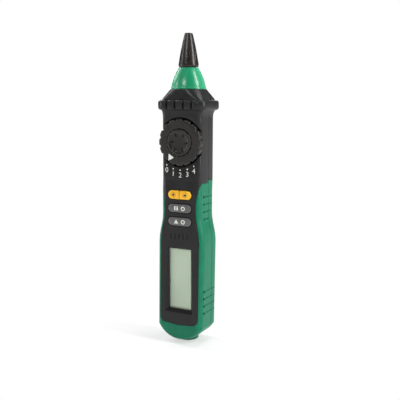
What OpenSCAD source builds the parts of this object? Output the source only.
// Pen multimeter: a one-hand test meter with the probe in its nose, standing upright on its jack boss.
// Millimetres. +Z runs up to the probe tip, the display faces -Y, and the origin is the mouth of the jack.

/* [Grip] */
// Width of the lower grip at its shoulder
grip_w = 36.8; // [34:0.1:40]
// Width of the lower grip at its foot
foot_w = 35.8; // [33:0.1:38]
// Height of the lower grip, from the jack mouth to its shoulder
grip_h = 74; // [72:1:84]
// Front face of the grip at its foot, from the probe axis
foot_front = 15.4; // [14.5:0.1:17]
// Front face of the grip at its shoulder, from the probe axis
grip_front = 13.4; // [12.8:0.1:15]
// Back face of the grip, from the probe axis
grip_back = 10.9; // [10.2:0.1:13]
// Radius of the grip's long corners
grip_corner = 4.5; // [3:0.1:5]
// Radius of the arc under the grip
foot_arc = 21.7; // [20:0.1:30]
// Wall of the housing
wall = 2; // [1.6:0.1:2.4]

/* [Waist] */
// Width of the waist at the keys
waist_w = 31; // [30:0.5:33]
// Height of the slope between the grip and the waist
slope_h = 20; // [16:1:22]
// Height of the waist, up to the line where the green ends
waist_h = 24; // [24:1:34]
// Front face of the waist, from the probe axis
waist_front = 12.9; // [12.4:0.1:14]
// Back face of the waist, from the probe axis
waist_back = 10.3; // [10:0.1:12]

/* [Neck] */
// Width of the neck behind the dial
neck_w = 30.6; // [29:0.1:31]
// Height of the neck, from the green line to the flare
neck_h = 43.5; // [43:0.5:50]
// Front face of the neck, from the probe axis
neck_front = 12.3; // [12:0.1:13.5]
// Back face of the neck, from the probe axis
neck_back = 10.8; // [10:0.1:12]
// Radius of the neck's corners
neck_corner = 3.5; // [2.5:0.1:4.5]

/* [Finger guard] */
// Width of the finger guard
guard_w = 38; // [36:0.5:42]
// Depth of the finger guard, front to back
guard_d = 29; // [28:0.5:34]
// Height of the finger guard's rim
guard_h = 7; // [6:0.5:9]
// Height of the hollow flare below the guard
flare_h = 5.5; // [4:0.1:6]
// Radius of the guard's corners
guard_corner = 6; // [5:0.1:7]
// Rounding of the guard's rim
guard_round = 2; // [1.5:0.1:2.5]
// Height of the shoulder above the guard
shoulder_h = 7.5; // [6:0.5:10]

/* [Nose] */
// Radius of the light cone at its base
cone_r = 12.5; // [12:0.1:13]
// Height of the light cone
cone_h = 15; // [13:0.5:18]
// Radius of the light cone at its top
cone_top_r = 7; // [6.8:0.1:8]
// Height of the probe cap
cap_h = 23.5; // [23:0.5:30]
// Radius of the probe cap at its foot
cap_r = 7.1; // [6.8:0.1:7.6]
// Radius of the probe cap at its tip
cap_tip_r = 2.9; // [2.5:0.1:3.2]
// Number of flutes round the probe cap
cap_flutes = 6; // [4:1:8]
// Radius of the probe needle
needle_r = 1; // [0.8:0.05:1.2]

/* [Dial] */
// Radius of the range dial
dial_r = 16.5; // [16:0.1:16.8]
// Height of the dial's centre above the green line
dial_up = 26.8; // [26:0.1:28]
// How far the dial's face stands out of the neck
dial_proud = 1.6; // [1:0.1:2.5]
// Thickness of the dial's disc
dial_t = 4.6; // [4:0.1:5]
// Radius of the dial's hub ring
hub_r = 9.9; // [9:0.1:11]
// Number of notches round the dial
dial_notches = 16; // [12:1:24]
// Number of positions that the dial clicks into
dial_steps = 5; // [3:1:6]
// Turn from one dial position to the next
dial_step_angle = 16.85; // [14:0.05:20]

/* [Keys] */
// Width of a key
key_w = 18.2; // [17:0.1:19]
// Height of a key
key_h = 6.1; // [5.5:0.1:6.6]
// Distance from one row of keys to the next
key_pitch = 9.55; // [9:0.05:10]
// Distance from the green line down to the first row of keys
key_drop = 10; // [9.5:0.1:11]
// How far a key stands out of the face
key_proud = 0.9; // [0.7:0.1:1.2]
// Travel of a key
key_travel = 0.5; // [0.3:0.05:0.6]

/* [Display] */
// Width of the clear window
window_w = 17.2; // [16:0.1:18]
// Height of the clear window
window_h = 43.8; // [40:0.1:45]
// Height of the window's middle above the jack mouth
window_z = 47.1; // [46:0.1:49]
// Depth of the bevelled frame round the window
frame_depth = 2; // [1.6:0.1:2.2]

/* [Jack] */
// Radius of the bore that takes a 4 mm plug
jack_r = 2; // [2:0.05:2.2]
// Depth of the plug's bore
jack_depth = 19; // [17:0.5:20]
// Radius of the boss round the jack
boss_r = 7.5; // [7.5:0.05:8.5]
// Height of the boss round the jack
boss_h = 2.7; // [2:0.1:4]

/* [Hidden] */
// Overrun of every cut
over = 1;
// Gap between fixed pieces that are assembled by hand
fit_gap = 0.05;
// Gap between pieces that move against each other
move_gap = 0.3;
// Gap that shows between the two halves of the housing, and where it lies from the probe axis
seam_gap = 0.12;
seam_y = 1.4;
// Steps along one round corner of a cross-section, and along one curve of the outline
corner_steps = 5;
curve_steps = 5;

// Heights of the main lines, from the jack mouth up
foot_z = boss_h;
shoulder_z = grip_h;
waist_z = shoulder_z + slope_h;
green_z = waist_z + waist_h;
flare_z = green_z + neck_h;
guard_z = flare_z + flare_h;
guard_top_z = guard_z + guard_h;
cone_z = guard_top_z + shoulder_h;
cap_z = cone_z + cone_h;
tip_z = cap_z + cap_h;

// Small sizes of the housing
back_lean = 0.8;
foot_edge = 1.8;
foot_start_angle = 8;
// A power of 1 makes the foot a round arc, and a lower one a fuller one
foot_power = 0.86;
waist_corner = 4.2;
neck_blend_h = 8;
shoulder_step = 0.5;
shoulder_edge = 0.2;
shoulder_flat = 0.1;
foot_block_h = 2.5;

function mix(a, b, t) = a + (b - a) * t;
function blend(a, b, t) = mix(a, b, (1 - cos(180 * t)) / 2);
function edge_inset(t, r) = t >= r ? 0 : r - sqrt(r * r - (r - t) * (r - t));

// One cross-section: height, half width, front, back and corner radius, drawn in by an inset
function section(z, half, front, back, corner, inset = 0) =
    [z, half - inset, front - inset, back - inset, max(corner - inset, shoulder_edge)];
function between(a, b, t) = [for (i = [0 : len(a) - 1]) mix(a[i], b[i], t)];
function smooth_between(a, b, t) =
    [a[0] + (b[0] - a[0]) * t, for (i = [1 : len(a) - 1]) blend(a[i], b[i], t)];

foot_end_angle = asin(foot_w / 2 / foot_arc);
foot_end_z = foot_z + foot_arc * (1 - cos(foot_end_angle));

function foot_section(t, inset = 0) =
    let (angle = mix(foot_start_angle, foot_end_angle, t))
    let (rise = foot_arc * (1 - cos(angle)))
    let (half = foot_w / 2 * pow(sin(angle) / sin(foot_end_angle), foot_power))
    let (drawn = edge_inset(rise, foot_edge))
    section(foot_z + rise, half, foot_front - drawn, grip_back - back_lean - drawn,
        min(grip_corner, half - shoulder_edge), inset);

function foot_top(inset) = foot_section(1, inset);
function grip_top(inset) = section(shoulder_z, grip_w / 2, grip_front, grip_back, grip_corner, inset);
function waist_low(inset) = section(waist_z, waist_w / 2, waist_front, waist_back, waist_corner, inset);
function waist_high(inset) =
    section(green_z - neck_blend_h, waist_w / 2, waist_front, waist_back, waist_corner, inset);
function neck_low(inset) = section(green_z, neck_w / 2, neck_front, neck_back, neck_corner, inset);
function neck_high(inset) = section(flare_z, neck_w / 2, neck_front, neck_back, neck_corner, inset);
function guard_section(z, inset) = section(z, guard_w / 2, guard_d / 2, guard_d / 2, guard_corner, inset);
function flare_section(angle) =
    let (low = neck_high(0))
    let (high = guard_section(guard_z, guard_round))
    [flare_z + flare_h * sin(angle), for (i = [1 : len(low) - 1]) mix(low[i], high[i], 1 - cos(angle))];
shoulder_r = cone_r + shoulder_edge;

// Cross-sections of the outside, from the foot to the base of the light cone
outer_sections = [
    for (i = [0 : curve_steps + 1]) foot_section(i / (curve_steps + 1)),
    for (i = [1 : 2]) between(foot_top(0), grip_top(0), i / 2),
    for (i = [1 : curve_steps]) smooth_between(grip_top(0), waist_low(0), i / curve_steps),
    waist_high(0),
    for (i = [1 : 2]) smooth_between(waist_high(0), neck_low(0), i / 2),
    neck_high(0),
    for (i = [1 : curve_steps - 1]) flare_section(i * 90 / curve_steps),
    for (i = [0 : curve_steps - 1])
        let (angle = i * 90 / (curve_steps - 1))
        guard_section(guard_z + guard_round * (1 - cos(angle)), guard_round * (1 - sin(angle))),
    for (i = [0 : curve_steps - 1])
        let (angle = 90 - i * 90 / (curve_steps - 1))
        guard_section(guard_top_z - guard_round * (1 - cos(angle)), guard_round * (1 - sin(angle))),
    guard_section(guard_top_z + fit_gap, guard_round + shoulder_step),
    section(cone_z, shoulder_r + shoulder_flat, shoulder_r + shoulder_flat, shoulder_r + shoulder_flat,
        shoulder_r)
];

// Cross-sections of the hollow, one wall inside the outside
hollow_z = foot_end_z + foot_block_h;
hollow_sections = [
    between(foot_top(wall), grip_top(wall), foot_block_h / (shoulder_z - foot_end_z)),
    grip_top(wall),
    for (i = [1 : curve_steps]) smooth_between(grip_top(wall), waist_low(wall), i / curve_steps),
    waist_high(wall),
    neck_low(wall),
    neck_high(wall)
];

// A cross-section's points, counter-clockwise seen from above, the front face at -Y
function ring(s) =
    let (half = s[1])
    let (front = s[2])
    let (back = s[3])
    let (r = s[4])
    [
        for (i = [0 : corner_steps])
            [half - r + r * sin(i * 90 / corner_steps), r - front - r * cos(i * 90 / corner_steps), s[0]],
        for (i = [0 : corner_steps])
            [half - r + r * cos(i * 90 / corner_steps), back - r + r * sin(i * 90 / corner_steps), s[0]],
        for (i = [0 : corner_steps])
            [r - half - r * sin(i * 90 / corner_steps), back - r + r * cos(i * 90 / corner_steps), s[0]],
        for (i = [0 : corner_steps])
            [r - half - r * cos(i * 90 / corner_steps), r - front - r * sin(i * 90 / corner_steps), s[0]]
    ];

// A closed skin over rings of equal length
module skin(rings) {
    n = len(rings[0]);
    m = len(rings);
    points = [for (r = rings) each r];
    faces = [
        [for (i = [0 : n - 1]) i],
        for (j = [0 : m - 2], i = [0 : n - 1])
            each [
                [j * n + i, (j + 1) * n + i, (j + 1) * n + (i + 1) % n],
                [j * n + i, (j + 1) * n + (i + 1) % n, j * n + (i + 1) % n]
            ],
        [for (i = [0 : n - 1]) m * n - 1 - i]
    ];
    polyhedron(points = points, faces = faces, convexity = 6);
}

module outside() {
    skin([for (s = outer_sections) ring(s)]);
}

module hollow() {
    skin([for (s = hollow_sections) ring(s)]);
}

// Draws an outline, given across and up, between two depths
module through(y0, y1) {
    translate([0, y1, 0]) rotate([90, 0, 0]) linear_extrude(y1 - y0) children();
}

// A round bar along Y
module bar(x, z, y0, y1, r) {
    translate([x, y0, z]) rotate([-90, 0, 0]) cylinder(h = y1 - y0, r = r, $fn = 64);
}

// A block between two corners
module block(low, high) {
    translate(low) cube(high - low);
}

// Shares the part into a front and a rear half, and into black above and green below the green line
module front_space() {
    block([-guard_w, -guard_d, -over], [guard_w, seam_y - seam_gap / 2, tip_z]);
}

module rear_space() {
    block([-guard_w, seam_y + seam_gap / 2, -over], [guard_w, guard_d, tip_z]);
}

module neck_space(gap) {
    block([-guard_w, -guard_d, green_z + gap], [guard_w, guard_d, tip_z]);
}

// The black face, an hourglass that runs up into the neck
panel_w = 30.4;
panel_waist_w = 24.4;
panel_top_w = 31.6;
panel_waist_up = 21;
panel_foot_z = 13.6;
panel_foot_corner = 4;
panel_foot_sag = 1.1;
panel_waist_z = green_z - panel_waist_up;
panel_back = waist_front - 2.5 * wall;

function panel_half(z) =
    z > panel_waist_z
        ? mix(panel_waist_w / 2, panel_top_w / 2, pow((z - panel_waist_z) / panel_waist_up, 2))
        : blend(panel_w / 2, panel_waist_w / 2, max(0, (z - shoulder_z) / (panel_waist_z - shoulder_z)));

function panel_side(gap) = concat(
    [for (i = [0 : curve_steps])
        let (angle = i * 90 / curve_steps)
        [panel_w / 2 + gap - panel_foot_corner * (1 - sin(angle)),
            panel_foot_z - gap + panel_foot_sag + panel_foot_corner * (1 - cos(angle))]],
    [for (i = [0 : 2 * curve_steps])
        let (z = mix(shoulder_z, panel_waist_z, i / 2 / curve_steps))
        [panel_half(z) + gap, z]],
    [for (i = [1 : curve_steps + 1])
        let (z = mix(panel_waist_z, green_z, i / curve_steps))
        [panel_half(z) + gap, z]]
);

module panel_outline(gap = 0) {
    side = panel_side(gap);
    last = len(side) - 1;
    polygon(concat(
        [[0, panel_foot_z - gap]],
        side,
        [for (i = [0 : last]) [-side[last - i][0], side[last - i][1]]]
    ));
}

// The space of the black face: a plate's depth low down, and as deep as the seam where it runs round to the sides
module panel_space(gap) {
    through(-guard_d, gap - panel_back) panel_outline(gap);
    intersection() {
        through(-guard_d, over + seam_y) panel_outline(gap);
        block([-guard_w, -guard_d, panel_waist_z], [guard_w, guard_d, tip_z]);
    }
}

// A slot with round ends, lying along X
module slot_outline(w, h) {
    square([w - h, h], center = true);
    for (side = [-1, 1])
        translate([side * (w - h) / 2, 0]) circle(d = h, $fn = 64);
}

// Depths of the pieces behind the face, from the probe axis
lens_lap = 1.3;
lens_t = 1.2;
glass_t = 2;
panel_light_t = 2;
board_t = 1.6;
board_front = 5.6;
board_back = board_front - board_t;
lens_front = grip_front - frame_depth / 2 - fit_gap;
lens_back = lens_front - lens_t;
pad_rim = 1.3;
pad_front = grip_front - wall / 8;
bevel = 1.9;

// The four keys: across, up, width and which side of a split key
key_row_z = [for (i = [0 : 2]) green_z - key_drop - i * key_pitch];
key_gap = 0.35;
key_split = 0.4;
key_flange = 0.8;
key_flange_t = 0.8;
key_face = waist_front + key_proud;
key_flange_front = waist_front - wall - move_gap;
key_back = key_flange_front - key_flange_t;

// Vents over the buzzer
vent_count = 5;
vent_pitch = 3.25;
vent_w = 1.2;
vent_h = 3.9;
buzzer_r = 5;
buzzer_gap = 0.4;
vent_z = key_row_z[2] - key_pitch / 2 - buzzer_r - buzzer_gap;

// The dial and its well
dial_z = green_z + dial_up;
dial_gap = 0.9;
dial_face = neck_front + dial_proud;
dial_back = dial_face - dial_t;
well_floor = dial_back - move_gap;
well_floor_t = 1.6;
well_back = well_floor - well_floor_t;
shaft_r = 3;
shaft_gap = 0.05;
rotor_t = 0.9;
rotor_r = 11;
wiper_t = 0.3;

// Screws that hold the two halves, and the posts that they run in
screw_r = 1.1;
screw_head_r = 2.1;
screw_head_h = 1.6;
post_r = 2.9;
screw_seat = neck_back - wall - screw_head_h - wall;
screw_up = 7;
screw_down = 4;
screw_foot_up = 4.3;
neck_screw_x = neck_w / 2 - 0.75 * wall - post_r;
foot_screw_x = foot_w / 2 - wall - post_r - wall;
screw_places = [
    [neck_screw_x, green_z + screw_up], [-neck_screw_x, green_z + screw_up],
    [neck_screw_x, flare_z - screw_down], [-neck_screw_x, flare_z - screw_down],
    [foot_screw_x, hollow_z + screw_foot_up], [-foot_screw_x, hollow_z + screw_foot_up]
];
screw_end = board_front + wall;

// Bores in the nose for the needle's holder and the light cone's spigot
holder_r = 5.4;
holder_flange_r = 9.6;
holder_flange_t = 2.4;
holder_flange_z = guard_top_z - holder_flange_t;
spigot_r = cone_r - wall;
spigot_h = 3;

module nose_bores() {
    translate([0, 0, flare_z - over])
        cylinder(h = cone_z - flare_z + 2 * over, r = holder_r + move_gap, $fn = 96);
    translate([0, 0, holder_flange_z - fit_gap])
        cylinder(h = holder_flange_t + 2 * fit_gap, r = holder_flange_r + fit_gap, $fn = 96);
    translate([0, 0, cone_z - spigot_h - fit_gap])
        cylinder(h = spigot_h + over, r = spigot_r + fit_gap, $fn = 96);
}

// Ribs across the front of the guard
rib_pitch = 6.5;
rib_groove_r = 0.85;
rib_count = 4;

module rib_grooves() {
    for (i = [0 : rib_count - 1])
        translate([(i - (rib_count - 1) / 2) * rib_pitch, -guard_d / 2 - rib_groove_r / 4, guard_z - over])
            cylinder(h = guard_h + over, r = rib_groove_r, $fn = 24);
}

module window_pad() {
    half_w = window_w / 2 + lens_lap + pad_rim;
    half_h = window_h / 2 + lens_lap + pad_rim;
    block([-half_w, -pad_front, window_z - half_h], [half_w, -lens_back + lens_t / 2, window_z + half_h]);
}

// The window's opening, with a bevelled frame that widens to the face
module window_cut() {
    half_w = window_w / 2;
    half_h = window_h / 2;
    deep = foot_front + over - lens_front;
    wide = bevel * deep / frame_depth;
    low = [
        [-half_w, -lens_front, window_z - half_h], [half_w, -lens_front, window_z - half_h],
        [half_w, -lens_front, window_z + half_h], [-half_w, -lens_front, window_z + half_h]
    ];
    high = [
        [-half_w - wide, -lens_front - deep, window_z - half_h - wide],
        [half_w + wide, -lens_front - deep, window_z - half_h - wide],
        [half_w + wide, -lens_front - deep, window_z + half_h + wide],
        [-half_w - wide, -lens_front - deep, window_z + half_h + wide]
    ];
    skin([low, high]);
    block([-half_w, -lens_front - over, window_z - half_h], [half_w, 0, window_z + half_h]);
    block([-half_w - lens_lap, -lens_front - fit_gap, window_z - half_h - lens_lap],
        [half_w + lens_lap, 0, window_z + half_h + lens_lap]);
}

module key_hole(row) {
    translate([0, 0, key_row_z[row]]) through(-foot_front, 0)
        slot_outline(key_w + 2 * key_gap, key_h + 2 * key_gap);
}

module front_case() {
    color("#3a3a3b") difference() {
        union() {
            intersection() {
                difference() {
                    outside();
                    hollow();
                }
                front_space();
                union() {
                    panel_space(0);
                    neck_space(0);
                }
            }
            window_pad();
            intersection() {
                bar(0, dial_z, -neck_front + wall - wall / 4, -well_back, dial_r + dial_gap + wall);
                block([-neck_w / 2 + wall / 2, -guard_d, green_z], [neck_w / 2 - wall / 2, 0, flare_z]);
            }
            for (p = screw_places)
                bar(p[0], p[1], 0.75 * wall - (p[1] < waist_z ? foot_front : neck_front), -board_front - fit_gap,
                    post_r);
        }
        for (p = screw_places)
            bar(p[0], p[1], -screw_end - wall / 2, 0, screw_r + fit_gap);
        bar(0, dial_z, -guard_d, -well_floor, dial_r + dial_gap);
        bar(0, dial_z, -guard_d, 0, shaft_r + shaft_gap);
        window_cut();
        for (row = [0 : 2])
            key_hole(row);
        for (i = [0 : vent_count - 1])
            translate([(i - (vent_count - 1) / 2) * vent_pitch, 0, vent_z]) through(-foot_front, 0)
                rotate(90) slot_outline(vent_h, vent_w);
        nose_bores();
        rib_grooves();
        jack_hole();
    }
}

// A post of the rear half, slimmer where it stands beside the front half's wall
module rear_post(x, z, back) {
    bar(x, z, fit_gap - board_back, seam_y + seam_gap, post_r - wall / 4 - 2 * fit_gap);
    bar(x, z, seam_y + seam_gap / 2, back, post_r);
}

module rear_case() {
    color("#3a3a3b") difference() {
        union() {
            intersection() {
                difference() {
                    outside();
                    hollow();
                }
                rear_space();
                neck_space(0);
            }
            for (p = screw_places)
                if (p[1] > green_z)
                    rear_post(p[0], p[1], neck_back - wall / 2);
        }
        for (p = screw_places)
            if (p[1] > green_z) {
                bar(p[0], p[1], -board_front, guard_d, screw_r + fit_gap);
                bar(p[0], p[1], screw_seat, guard_d, screw_head_r + fit_gap);
            }
        nose_bores();
    }
}

// Finger grooves along the sides of the green grip
groove_r = 0.5;
groove_dot_r = 0.8;
groove_count = 4;
groove_pitch = 5.33;
low_groove_z = 23.3;
low_groove_y = 10;
high_groove_drop = 27.3;
high_groove_y = 6;

function grip_half(z) =
    z > waist_z ? waist_w / 2
    : mix(foot_w / 2, grip_w / 2, (z - foot_end_z) / (shoulder_z - foot_end_z));

module grip_groove(z, start) {
    for (side = [-1, 1])
        translate([side * (grip_half(z) + groove_r / 3), -start, z]) {
            sphere(r = groove_dot_r, $fn = 24);
            rotate([-90, 0, 0]) cylinder(h = start + guard_d, r = groove_r, $fn = 24);
        }
}

module grip_grooves() {
    for (i = [0 : groove_count - 1]) {
        grip_groove(low_groove_z + i * groove_pitch, low_groove_y);
        grip_groove(green_z - high_groove_drop + i * groove_pitch, high_groove_y);
    }
}

// The jack: a shrouded 4 mm socket in an insulating bush
sleeve_wall = 1;
sleeve_r = jack_r + sleeve_wall;
bush_wall = 1.1;
shroud_r = 4.9;
bush_r = shroud_r + bush_wall;
bush_h = jack_depth + bush_wall;

module jack_hole() {
    translate([0, 0, -over]) cylinder(h = hollow_z + bush_h, r = bush_r + fit_gap, $fn = 96);
}

module boss() {
    cylinder(h = hollow_z, r = boss_r, $fn = 96);
}

module front_grip() {
    color("#2f9b77") difference() {
        intersection() {
            difference() {
                union() {
                    outside();
                    boss();
                }
                hollow();
            }
            front_space();
            difference() {
                block([-guard_w, -guard_d, -over], [guard_w, guard_d, green_z - seam_gap]);
                panel_space(seam_gap / 2);
            }
        }
        grip_grooves();
        jack_hole();
    }
}

// The battery compartment behind the board, and its door in the back
cell_r = 5.25;
cell_h = 44.5;
cell_tip_r = 1.9;
cell_tip_h = 1;
cell_gap = 0.3;
tray_wall = 1.2;
tray_floor = 1;
spring_h = 4;
cell_x = cell_r + cell_gap;
cell_y = tray_floor + cell_gap + cell_r - board_back + fit_gap;
lug_h = 2 * post_r;
tray_z = hollow_z + 2 * screw_foot_up + lug_h;
tray_h = 2 * tray_wall + spring_h + cell_h + cell_gap;
tray_half = cell_x + cell_r + cell_gap + tray_wall;
cell_z = tray_z + tray_wall + spring_h;
door_lap = 1;
door_half = tray_half;
door_z = tray_z - lug_h - door_lap;
door_h = tray_h + lug_h + 2 * door_lap;
door_front = grip_back - back_lean - wall;
door_screw_z = tray_z - lug_h / 2;
door_screw_tip = cell_y - cell_r / 2;
door_tongue_w = 8;
door_tongue_h = 2.4;

module door_space(gap) {
    block([-door_half - gap, door_front, door_z - gap], [door_half + gap, guard_d, door_z + door_h + gap]);
}

module rear_grip() {
    color("#2f9b77") difference() {
        union() {
            intersection() {
                difference() {
                    union() {
                        outside();
                        boss();
                    }
                    hollow();
                }
                rear_space();
                block([-guard_w, -over, -over], [guard_w, guard_d, green_z - seam_gap]);
            }
            for (p = screw_places)
                if (p[1] < green_z)
                    rear_post(p[0], p[1], grip_back - back_lean - wall / 2);
        }
        for (p = screw_places)
            if (p[1] < green_z) {
                bar(p[0], p[1], -board_front, guard_d, screw_r + fit_gap);
                bar(p[0], p[1], screw_seat, guard_d, screw_head_r + fit_gap);
            }
        door_space(seam_gap);
        grip_grooves();
        jack_hole();
    }
}

module battery_door() {
    color("#2f9b77") difference() {
        union() {
            intersection() {
                outside();
                door_space(0);
            }
            block([-door_tongue_w / 2, door_front - wall / 2, door_z + door_h - wall],
                [door_tongue_w / 2, door_front + fit_gap, door_z + door_h + door_tongue_h]);
        }
        bar(0, door_screw_z, 0, guard_d, screw_r + fit_gap);
        bar(0, door_screw_z, grip_back - back_lean - screw_head_h + fit_gap, guard_d, screw_head_r + fit_gap);
    }
}

// A screw along Y, its head towards the back
module screw(x, z, head_y, tip_y) {
    difference() {
        union() {
            bar(x, z, tip_y, head_y, screw_r);
            bar(x, z, head_y, head_y + screw_head_h, screw_head_r);
        }
        for (turn = [0, 90])
            translate([x, head_y + screw_head_h, z]) rotate([0, turn, 0])
                cube([1.4 * screw_head_r, screw_head_h, screw_head_h / 3], center = true);
    }
}

module case_screws() {
    color("silver")
        for (p = screw_places)
            screw(p[0], p[1], screw_seat + fit_gap, -screw_end);
}

module door_screw() {
    color("silver")
        screw(0, door_screw_z, grip_back - back_lean - screw_head_h + 2 * fit_gap, door_screw_tip);
}

// The nose. A bulge share of 0 gives a straight cone, and a larger one a rounder side.
cone_bulge_share = 0.5;
cap_bulge_share = 0.3;
cone_wall = 1.6;
cone_rim_h = 2.5;
cone_bore_r = holder_r + move_gap;
cap_lip_h = 1.8;
cap_lip_in = 0.8;
cap_tip_round = 0.6;
cap_socket_h = 6;
holder_neck_r = 3.6;
needle_tip_h = 4;
needle_gap = 3.4;
needle_z = flare_z + wall;
needle_top = tip_z - needle_gap;

function swell(t, share) = t * (1 - share * (1 - t));
function cone_point(t, inset) = [
    max(mix(cone_r, cone_top_r, swell(t, cone_bulge_share)) - inset, cone_bore_r),
    mix(cone_z + cone_rim_h, cap_z - move_gap, t)
];

module light_cone() {
    steps = 2 * curve_steps;
    hollow_steps = steps - 2;
    color("#00a567") rotate_extrude($fn = 96) polygon(concat(
        [[cone_r - shoulder_edge, cone_z], [cone_r, cone_z + shoulder_edge]],
        [for (i = [0 : steps]) cone_point(i / steps, 0)],
        [[cone_bore_r, cap_z - move_gap], [cone_bore_r, cap_z - move_gap - cone_wall]],
        [for (i = [0 : hollow_steps]) cone_point((hollow_steps - i) / steps, cone_wall)],
        [[spigot_r - cone_wall, cone_z], [spigot_r - cone_wall, cone_z - spigot_h],
            [spigot_r, cone_z - spigot_h], [spigot_r, cone_z]]
    ));
}

flute_r = 1.3;
flute_reach = 5.3;
flute_up = 5.2;
flute_turn = 23.4;

module probe_cap() {
    steps = 2 * curve_steps;
    color("#3b3632") difference() {
        rotate_extrude($fn = 96) polygon(concat(
            [[0, cap_z]],
            [for (i = [0 : curve_steps])
                let (angle = i * 90 / curve_steps)
                [cap_r - cap_lip_in * (1 - sin(angle)), cap_z + cap_lip_h * (1 - cos(angle))]],
            [for (i = [1 : steps])
                [mix(cap_r, cap_tip_r, swell(i / steps, cap_bulge_share)),
                    mix(cap_z + cap_lip_h, tip_z - cap_tip_round, i / steps)]],
            [[cap_tip_r - cap_tip_round, tip_z], [0, tip_z]]
        ));
        translate([0, 0, cap_z - over])
            cylinder(h = cap_socket_h + over, r = holder_neck_r + move_gap, $fn = 96);
        translate([0, 0, cap_z])
            cylinder(h = needle_top - cap_z + move_gap, r = needle_r + move_gap, $fn = 48);
        for (i = [0 : cap_flutes - 1])
            rotate(i * 360 / cap_flutes - 90 + flute_turn)
                translate([flute_reach + flute_r, 0, cap_z + flute_up]) {
                    sphere(r = flute_r, $fn = 32);
                    cylinder(h = cap_h, r = flute_r, $fn = 32);
                }
    }
}

module probe_needle() {
    color("gold") translate([0, 0, needle_z]) {
        cylinder(h = needle_top - needle_z - needle_tip_h, r = needle_r, $fn = 48);
        translate([0, 0, needle_top - needle_z - needle_tip_h])
            cylinder(h = needle_tip_h, r1 = needle_r, r2 = needle_r / 5, $fn = 48);
    }
}

module needle_holder() {
    color("ivory") difference() {
        union() {
            translate([0, 0, flare_z + 2 * wall])
                cylinder(h = cap_z - flare_z - 2 * wall, r = holder_r, $fn = 96);
            translate([0, 0, holder_flange_z]) cylinder(h = holder_flange_t, r = holder_flange_r, $fn = 96);
            cylinder(h = cap_z + cap_socket_h - move_gap, r = holder_neck_r, $fn = 96);
        }
        translate([0, 0, -over]) cylinder(h = tip_z, r = needle_r + fit_gap, $fn = 48);
        translate([0, 0, -over]) cylinder(h = flare_z + 2 * wall + over, r = cone_r, $fn = 48);
    }
}

led_r = 1.2;
led_count = 3;
led_h = 5;
led_flange_r = 1.5;
led_flange_t = 1;
led_x = holder_r + led_flange_r + 2 * fit_gap;
led_z = cone_z - spigot_h;

module nose_leds() {
    color("white")
        for (i = [0 : led_count - 1])
            rotate(i * 360 / led_count - 90) translate([led_x, 0, led_z]) {
                cylinder(h = led_flange_t, r = led_flange_r, $fn = 32);
                cylinder(h = led_h, r = led_r, $fn = 32);
                translate([0, 0, led_h]) sphere(r = led_r, $fn = 32);
            }
}

// The dial: a disc with a notched, rounded rim, a hub ring round a dish, and a shaft
dial_round = 1;
notch_r = 1.15;
notch_deep = 0.95;
hub_rise = 0.7;
dish_r = 8.1;
dish_deep = 0.8;
dimple_r = 0.8;
dimple_reach = 5.6;
dimple_count = 6;
pointer_side = 4.9;
pointer_t = 0.5;
pointer_reach = 12.6;
rest_angle = -dial_step_angle * (dial_steps - 1) / 2;
shaft_end = board_front + move_gap;

// Turns about the dial's axis, counted from straight down, and points Z at the viewer
module on_dial(angle) {
    translate([0, 0, dial_z]) rotate([0, -angle, 0]) rotate([90, 0, 0]) children();
}

module dial() {
    color("#2c2b2a") on_dial(rest_angle) difference() {
        union() {
            rotate_extrude($fn = 128) polygon(concat(
                [[0, dial_back], [dial_r, dial_back]],
                [for (i = [0 : curve_steps])
                    let (angle = i * 90 / curve_steps)
                    [dial_r - dial_round * (1 - cos(angle)), dial_face - dial_round * (1 - sin(angle))]],
                [[hub_r + hub_rise / 2, dial_face], [hub_r, dial_face + hub_rise / 2],
                    [hub_r - hub_rise, dial_face + hub_rise], [dish_r, dial_face + hub_rise / 2]],
                [for (i = [1 : curve_steps])
                    [dish_r * cos(i * 90 / curve_steps),
                        dial_face + hub_rise / 2 - dish_deep * sin(i * 90 / curve_steps)]]
            ));
            translate([0, 0, shaft_end]) cylinder(h = dial_back - shaft_end + over, r = shaft_r, $fn = 64);
        }
        for (i = [0 : dial_notches - 1])
            rotate(i * 360 / dial_notches - 90)
                translate([dial_r + notch_r - notch_deep, 0, 0]) cylinder(h = dial_face + over, r = notch_r, $fn = 24);
        for (i = [0 : dimple_count - 1])
            rotate(i * 360 / dimple_count - 90)
                translate([dimple_reach, 0, dial_face]) sphere(r = dimple_r, $fn = 24);
        pointer_place() pointer(pointer_t);
    }
}

module pointer_place() {
    translate([0, -pointer_reach, dial_face - pointer_t]) children();
}

module pointer(h) {
    linear_extrude(h) polygon([
        for (corner = [0 : 2])
            pointer_side / sqrt(3) * [sin(180 + corner * 120), cos(180 + corner * 120)]
    ]);
}

module dial_pointer() {
    color("#e6e6da") on_dial(rest_angle) pointer_place() pointer(pointer_t);
}

detent_r = 1;
detent_ball_r = 0.6;
detent_leaf_t = 0.4;
leaf_gap = 1;
detent_leaf_w = 2 * (neck_screw_x - post_r - leaf_gap);

module contact_rotor() {
    color("white") on_dial(rest_angle) difference() {
        translate([0, 0, shaft_end + wiper_t]) cylinder(h = rotor_t, r = rotor_r, $fn = 96);
        translate([0, 0, shaft_end]) cylinder(h = dial_t, r = shaft_r + fit_gap, $fn = 64);
        for (i = [0 : dial_steps - 1])
            rotate(90 - rest_angle - i * dial_step_angle)
                translate([rotor_r + detent_r / 4, 0, shaft_end])
                    cylinder(h = dial_t, r = detent_r, $fn = 32);
    }
}

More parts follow.
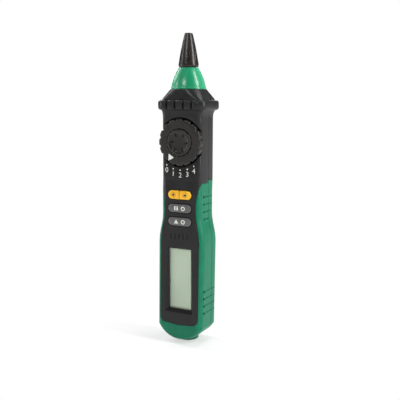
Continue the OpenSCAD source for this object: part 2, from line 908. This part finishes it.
wiper_w = 1;
wiper_reach = 8.6;
module wiper_contacts() {
    color("gold") on_dial(rest_angle) translate([0, 0, shaft_end]) difference() {
        intersection() {
            cylinder(h = wiper_t - fit_gap, r = wiper_reach, $fn = 96);
            translate([-wiper_reach, 0, 0]) cube([2 * wiper_reach, wiper_reach, wiper_t]);
        }
        translate([0, 0, -over]) cylinder(h = 2 * over, r = wiper_reach - wiper_w, $fn = 96);
    }
}

module detent_spring() {
    ball_z = dial_z + rotor_r + move_gap / 2 + detent_ball_r;
    leaf_z = ball_z + detent_ball_r / 2;
    color("silver") {
        translate([0, -shaft_end - wiper_t - rotor_t / 2, ball_z]) sphere(r = detent_ball_r, $fn = 32);
        block([-detent_leaf_w / 2, -well_back + fit_gap, leaf_z],
            [detent_leaf_w / 2, -shaft_end - wiper_t + fit_gap, leaf_z + detent_leaf_t]);
        for (side = [-1, 1])
            block([side * detent_leaf_w / 2 - detent_leaf_t, -well_back + fit_gap, leaf_z],
                [side * detent_leaf_w / 2 + detent_leaf_t, -board_front - fit_gap, leaf_z + 4 * detent_leaf_t]);
    }
}

// Keys: a pill with rounded edges, and a flange behind the face that keeps it in
key_round = 0.7;

module pill(w, h, front, back, round_r) {
    profile = concat(
        [[0, back], [h / 2, back]],
        [for (i = [0 : curve_steps])
            let (angle = i * 90 / curve_steps)
            [h / 2 - round_r * (1 - cos(angle)), front - round_r * (1 - sin(angle))]],
        [[0, front]]
    );
    rotate([90, 0, 0]) {
        for (side = [-1, 1])
            translate([side * (w - h) / 2, 0, 0]) rotate_extrude($fn = 64) polygon(profile);
        translate([-(w - h) / 2, 0, 0]) rotate([90, 0, 90]) linear_extrude(w - h)
            polygon(concat(profile, [for (i = [len(profile) - 1 : -1 : 0]) [-profile[i][0], profile[i][1]]]));
    }
}

module key(row) {
    translate([0, 0, key_row_z[row]]) {
        pill(key_w, key_h, key_face, key_flange_front - fit_gap, key_round);
        translate([0, -key_back, 0]) through(-key_flange_t, 0)
            slot_outline(key_w + 2 * key_flange, key_h + 2 * key_flange);
    }
}

module half_key(row, side) {
    intersection() {
        key(row);
        translate([side * (guard_w + key_split) / 2, 0, key_row_z[row]])
            cube([guard_w, guard_w, 2 * key_h], center = true);
    }
}

module torch_key() {
    color("#ffb82e") half_key(0, -1);
}

module backlight_key() {
    color("#ffb82e") half_key(0, 1);
}

module hold_key() {
    color("#5b5b5b") key(1);
}

module function_key() {
    color("#5b5b5b") key(2);
}

// Rubber mat on the board, with a dome under each key
mat_t = 0.9;
dome_r = 2.2;
dome_top_r = 1.6;
dome_gap = 0.1;
dome_x = key_w / 4;
dome_places = [[-dome_x, 0], [dome_x, 0], [0, 1], [0, 2]];

module key_mat() {
    mat_half = key_w / 2 + key_flange;
    dome_h = key_back - key_travel - dome_gap - board_front - mat_t;
    color("darkgray") {
        block([-mat_half, -board_front - mat_t, key_row_z[2] - key_h / 2 - key_flange],
            [mat_half, -board_front - fit_gap, key_row_z[0] + key_h / 2 + key_flange]);
        for (p = dome_places)
            translate([p[0], -board_front - mat_t + fit_gap, key_row_z[p[1]]]) rotate([90, 0, 0])
                cylinder(h = dome_h, r1 = dome_r, r2 = dome_top_r, $fn = 48);
    }
}

// The display stack, from the window back to the board
glass_lap = 0.8;
glass_front = lens_back - fit_gap;
glass_back = glass_front - glass_t;
strip_w = 2;
light_inset = 0.6;

module upright_plate(half_w, low_z, high_z, front, back) {
    block([-half_w, -front, low_z], [half_w, -back, high_z]);
}

module window_lens() {
    color("lightgray", 0.4)
        upright_plate(window_w / 2 + lens_lap - fit_gap, window_z - window_h / 2 - lens_lap + fit_gap,
            window_z + window_h / 2 + lens_lap - fit_gap, lens_front, lens_back);
}

module lcd_glass() {
    color("#a9b8a3")
        upright_plate(window_w / 2 + glass_lap, window_z - window_h / 2 - glass_lap,
            window_z + window_h / 2 + glass_lap, glass_front, glass_back);
}

module lcd_connector() {
    color("dimgray")
        for (side = [-1, 1])
            translate([0, 0, window_z + side * (window_h / 2 + glass_lap - strip_w / 2)])
                upright_plate(window_w / 2, -strip_w / 2, strip_w / 2, glass_back - fit_gap, board_front + fit_gap);
}

module backlight_panel() {
    half_h = window_h / 2 + glass_lap - strip_w - light_inset;
    color("white")
        upright_plate(window_w / 2, window_z - half_h, window_z + half_h, glass_back - fit_gap,
            board_front + fit_gap);
}

// The circuit board follows the hollow, with a hole for each screw and for the jack's contact
board_gap = 0.7;
board_top_z = flare_z - board_gap;
board_low_z = hollow_z + board_gap;

module board_outline() {
    low_half = foot_w / 2 - wall - board_gap;
    neck_half = neck_w / 2 - wall - board_gap;
    waist_half = min(waist_w, neck_w) / 2 - wall - board_gap;
    side = [
        [low_half, board_low_z], [low_half, shoulder_z], [waist_half, waist_z], [waist_half, green_z],
        [neck_half, green_z + neck_blend_h], [neck_half, board_top_z]
    ];
    last = len(side) - 1;
    polygon(concat(side, [for (i = [0 : last]) [-side[last - i][0], side[last - i][1]]]));
}

module circuit_board() {
    color("darkgreen") difference() {
        through(-board_front, -board_back) board_outline();
        for (p = screw_places)
            bar(p[0], p[1], -guard_d, guard_d, screw_r + 2 * fit_gap);
        translate([0, 0, -over]) cylinder(h = bush_h + move_gap + over, r = bush_r + move_gap, $fn = 96);
    }
}

chip_t = 1.4;
chip_sizes = [[9, 9, 0], [7, 5, 12], [10, 8, -13]];

module board_chips() {
    color("black")
        for (c = chip_sizes)
            translate([0, 0, waist_z + waist_h / 2 + c[2]])
                block([-c[0] / 2, -board_back + fit_gap, -c[1] / 2], [c[0] / 2, chip_t - board_back, c[1] / 2]);
}

buzzer_h = 3.4;
buzzer_hole_r = 0.8;

module buzzer() {
    color("black") difference() {
        bar(0, vent_z, -board_front - buzzer_h, -board_front - fit_gap, buzzer_r);
        bar(0, vent_z, -board_front - 2 * buzzer_h, -board_front - buzzer_h / 2, buzzer_hole_r);
    }
}

// A glass fuse across the back of the board, in two clips
fuse_r = 2.6;
fuse_w = 18;
fuse_cap_w = 4;
fuse_glass_r = 2.3;
clip_t = 0.4;
fuse_z = (green_z + flare_z) / 2;
fuse_y = fuse_r + clip_t + 2 * fit_gap - board_back;

module fuse() {
    color("lightblue") translate([0, fuse_y, fuse_z]) rotate([0, 90, 0]) {
        cylinder(h = fuse_w, r = fuse_glass_r, center = true, $fn = 48);
        for (side = [-1, 1])
            translate([0, 0, side * (fuse_w - fuse_cap_w) / 2])
                cylinder(h = fuse_cap_w, r = fuse_r, center = true, $fn = 48);
    }
}

module fuse_clips() {
    color("silver")
        for (side = [-1, 1])
            translate([side * (fuse_w - fuse_cap_w) / 2, fuse_y, fuse_z]) rotate([0, 90, 0]) difference() {
                union() {
                    cylinder(h = fuse_cap_w / 2, r = fuse_r + fit_gap + clip_t, center = true, $fn = 48);
                    translate([0, -fuse_r - clip_t / 2 - fit_gap, 0])
                        cube([2 * fuse_r, clip_t, fuse_cap_w / 2], center = true);
                }
                cylinder(h = fuse_cap_w, r = fuse_r + fit_gap, center = true, $fn = 48);
                translate([0, fuse_r, 0]) cube([4 * fuse_r, fuse_r, fuse_cap_w], center = true);
            }
}

// The jack at the foot
module jack_bush() {
    color("#2b2b2b") difference() {
        cylinder(h = bush_h, r = bush_r, $fn = 96);
        translate([0, 0, -over]) cylinder(h = jack_depth - bush_wall + over, r = shroud_r, $fn = 96);
        translate([0, 0, -over]) cylinder(h = bush_h + 2 * over, r = sleeve_r + fit_gap, $fn = 64);
    }
}

module jack_sleeve() {
    color("goldenrod") difference() {
        cylinder(h = bush_h + 2 * sleeve_wall, r = sleeve_r, $fn = 64);
        translate([0, 0, -over]) cylinder(h = jack_depth + over, r = jack_r, $fn = 64);
    }
}

contact_t = 0.5;
contact_w = 3;

module jack_contact() {
    top = bush_h + 2 * sleeve_wall + fit_gap;
    color("goldenrod") {
        block([-contact_w / 2, -board_back + fit_gap, top], [contact_w / 2, sleeve_r, top + contact_t]);
        block([-contact_w / 2, -board_back + fit_gap, bush_h + move_gap],
            [contact_w / 2, -board_back + fit_gap + contact_t, top + contact_t]);
    }
}

module needle_contact() {
    low = needle_z - fit_gap - contact_t;
    color("goldenrod") {
        block([-contact_w / 2, -board_back + fit_gap, low], [contact_w / 2, contact_w / 2, low + contact_t]);
        block([-contact_w / 2, -board_back + fit_gap, board_top_z - contact_w],
            [contact_w / 2, -board_back + fit_gap + contact_t, low + contact_t]);
    }
}

// The battery tray and what is in it: two cells side by side, head to foot
plate_t = 0.4;
tray_low = tray_z + tray_wall;
tray_high = tray_z + tray_h - tray_wall;

module battery_tray() {
    half = tray_half - tray_wall;
    floor_y = -board_back + fit_gap;
    color("#2b2b2b") difference() {
        union() {
            block([-tray_half, floor_y, tray_z], [tray_half, cell_y, tray_z + tray_h]);
            block([-post_r, floor_y, tray_z - lug_h], [post_r, door_front - 2 * fit_gap, tray_low]);
        }
        block([-half, floor_y + tray_floor, tray_low], [half, guard_d, tray_high]);
        bar(0, door_screw_z, door_screw_tip - fit_gap, guard_d, screw_r + fit_gap);
    }
}

// Places something at the foot of each cell, the second cell turned end for end
module at_cells() {
    middle = (tray_low + tray_high) / 2;
    for (turn = [0, 1])
        translate([0, cell_y, middle]) rotate([0, 180 * turn, 0]) translate([cell_x, 0, tray_low - middle])
            children();
}

module battery_cells() {
    length = tray_high - tray_low - plate_t - cell_gap / 2;
    color("slategray") at_cells() translate([0, 0, length - cell_h]) {
        cylinder(h = cell_h - cell_tip_h, r = cell_r, $fn = 64);
        cylinder(h = cell_h, r = cell_tip_r, $fn = 48);
    }
}

module battery_contacts() {
    color("silver") at_cells() {
        block([-cell_r + cell_gap, -cell_r, fit_gap], [cell_r - cell_gap, 0, plate_t]);
        block([-cell_r + cell_gap, -cell_r, tray_high - tray_low - plate_t],
            [cell_r - cell_gap, 0, tray_high - tray_low - fit_gap]);
    }
}

spring_turns = 3;
spring_turn_steps = 10;
spring_sides = 6;
spring_wire_r = 0.35;
spring_foot_r = 3.6;
spring_top_r = 2.2;

module battery_springs() {
    steps = spring_turns * spring_turn_steps;
    low = plate_t + spring_wire_r + fit_gap;
    high = tray_high - tray_low - plate_t - cell_gap / 2 - cell_h - spring_wire_r - fit_gap;
    color("silver") at_cells() skin([
        for (i = [0 : steps])
            let (angle = i * 360 / spring_turn_steps)
            let (reach = mix(spring_foot_r, spring_top_r, i / steps))
            [for (j = [0 : spring_sides - 1])
                let (r = reach + spring_wire_r * sin(j * 360 / spring_sides))
                [r * cos(angle), r * sin(angle),
                    mix(low, high, i / steps) + spring_wire_r * cos(j * 360 / spring_sides)]]
    ]);
}

front_case();
rear_case();
front_grip();
rear_grip();
light_cone();
probe_cap();
probe_needle();
needle_holder();
nose_leds();
dial();
dial_pointer();
contact_rotor();
wiper_contacts();
detent_spring();
torch_key();
backlight_key();
hold_key();
function_key();
key_mat();
window_lens();
lcd_glass();
lcd_connector();
backlight_panel();
circuit_board();
board_chips();
buzzer();
fuse();
fuse_clips();
jack_sleeve();
jack_bush();
jack_contact();
needle_contact();
battery_tray();
battery_cells();
battery_contacts();
battery_springs();
battery_door();
door_screw();
case_screws();
